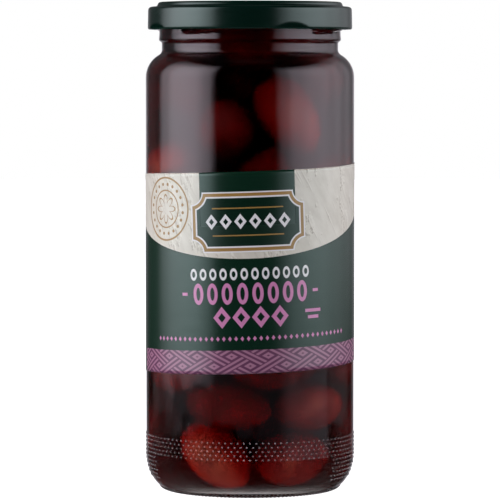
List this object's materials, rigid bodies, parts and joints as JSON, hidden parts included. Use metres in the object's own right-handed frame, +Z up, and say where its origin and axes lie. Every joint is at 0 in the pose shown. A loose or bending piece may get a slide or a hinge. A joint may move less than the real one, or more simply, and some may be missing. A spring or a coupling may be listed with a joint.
{
  "type": "jar of olives",
  "caption": "Tall round glass jar of whole dark olives in brine, with a steel twist-off lid and a wrap-around paper label.",
  "frame": {"origin": "middle of the base, on the surface that the jar stands on", "axes": "+Z up along the jar's axis, -Y towards the middle of the label, +X to the viewer's right"},
  "size_m": [0.073, 0.0725, 0.1685],
  "materials": {
    "glass": "clear moulded container glass, polished",
    "lid_enamel": "dark green satin enamel on tinplate",
    "label_paper": "satin coated paper, dark green with cream, pink, gold and purple print",
    "olive_skin": "smooth moist skin, dark wine red to brown"
  },
  "bodies": {
    "root": {"jar_glass": "glass", "lid": "lid_enamel", "label": "label_paper", "olives": "olive_skin"}
  },
  "joints": []
}
